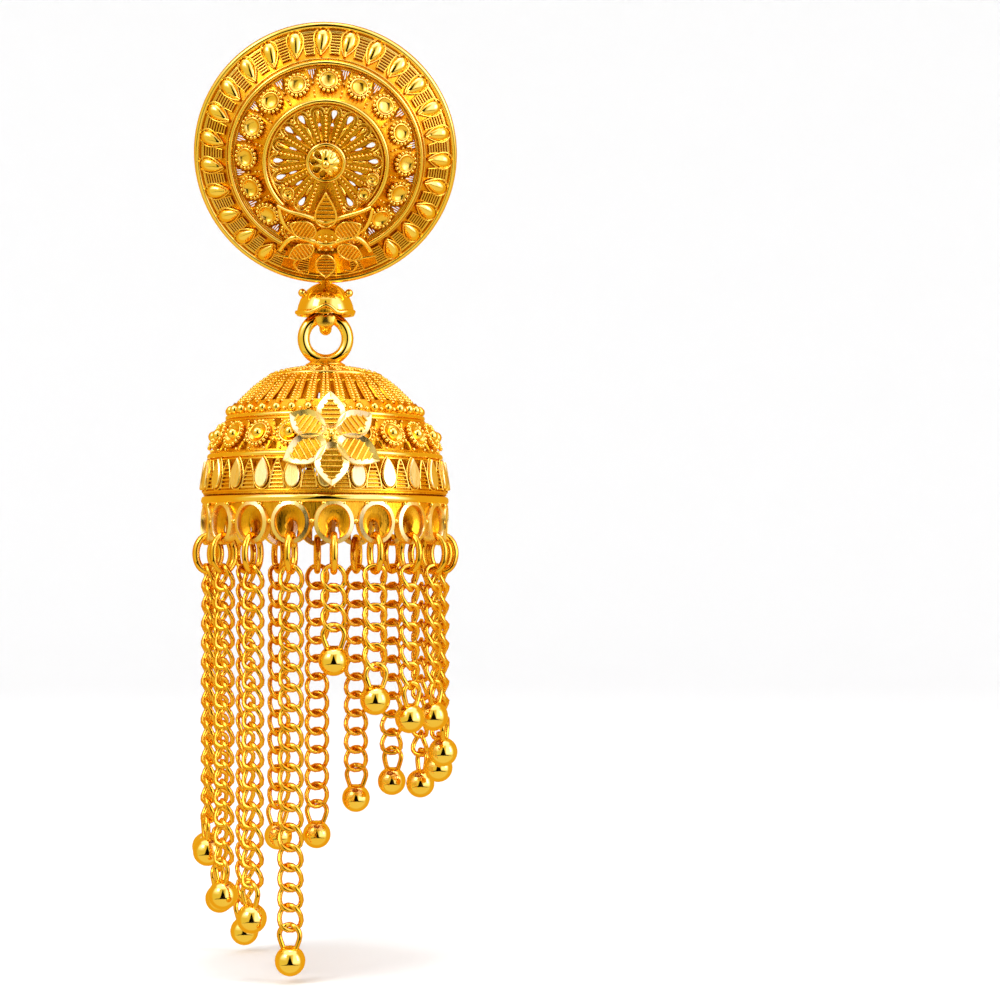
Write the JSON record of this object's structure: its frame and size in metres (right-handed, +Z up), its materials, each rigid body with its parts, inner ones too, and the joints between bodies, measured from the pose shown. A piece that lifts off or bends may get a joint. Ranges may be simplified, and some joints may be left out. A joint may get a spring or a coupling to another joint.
{
  "type": "jhumka earring",
  "caption": "Gold jhumka drop earring: a pierced stud disc and a bell dome that swings under it with a fringe of ball-tipped chains.",
  "frame": {"origin": "where the ear post leaves the back pad of the stud", "axes": "+Z up, the way the drop hangs; the stud's face looks towards -Y and +X is to its right"},
  "size_m": [0.0246, 0.0246, 0.0853],
  "materials": {
    "gold_plate": "polished gold plate",
    "gold_bright": "mirror-polished gold plate",
    "gold_wire": "polished gold wire"
  },
  "bodies": {
    "stud": {"stud_disc": "gold_plate", "stud_boss": "gold_bright", "stud_flower": "gold_bright", "hood": "gold_plate", "ear_post": "gold_plate"},
    "drop": {"drop_ring": "gold_plate", "dome": "gold_plate", "dome_flower": "gold_bright", "loop_rim": "gold_plate", "jump_ring_01": "gold_wire", "jump_ring_02": "gold_wire", "jump_ring_03": "gold_wire", "jump_ring_04": "gold_wire", "jump_ring_05": "gold_wire", "jump_ring_06": "gold_wire", "jump_ring_07": "gold_wire", "jump_ring_08": "gold_wire", "jump_ring_09": "gold_wire", "jump_ring_10": "gold_wire", "jump_ring_11": "gold_wire", "jump_ring_12": "gold_wire", "jump_ring_13": "gold_wire", "jump_ring_14": "gold_wire", "jump_ring_15": "gold_wire", "jump_ring_16": "gold_wire", "jump_ring_17": "gold_wire", "jump_ring_18": "gold_wire", "chain_01": "gold_wire", "chain_02": "gold_wire", "chain_03": "gold_wire", "chain_04": "gold_wire", "chain_05": "gold_wire", "chain_06": "gold_wire", "chain_07": "gold_wire", "chain_08": "gold_wire", "chain_09": "gold_wire", "chain_10": "gold_wire", "chain_11": "gold_wire", "chain_12": "gold_wire", "chain_13": "gold_wire", "chain_14": "gold_wire", "chain_15": "gold_wire", "chain_16": "gold_wire", "chain_17": "gold_wire", "chain_18": "gold_wire"}
  },
  "joints": [
    {"name": "drop_swing", "type": "hinge", "parent": "stud", "child": "drop", "pos_m": [0, 0.00349, -0.01468], "axis": [1, 0, 0], "range_deg": [-30, 30]}
  ]
}
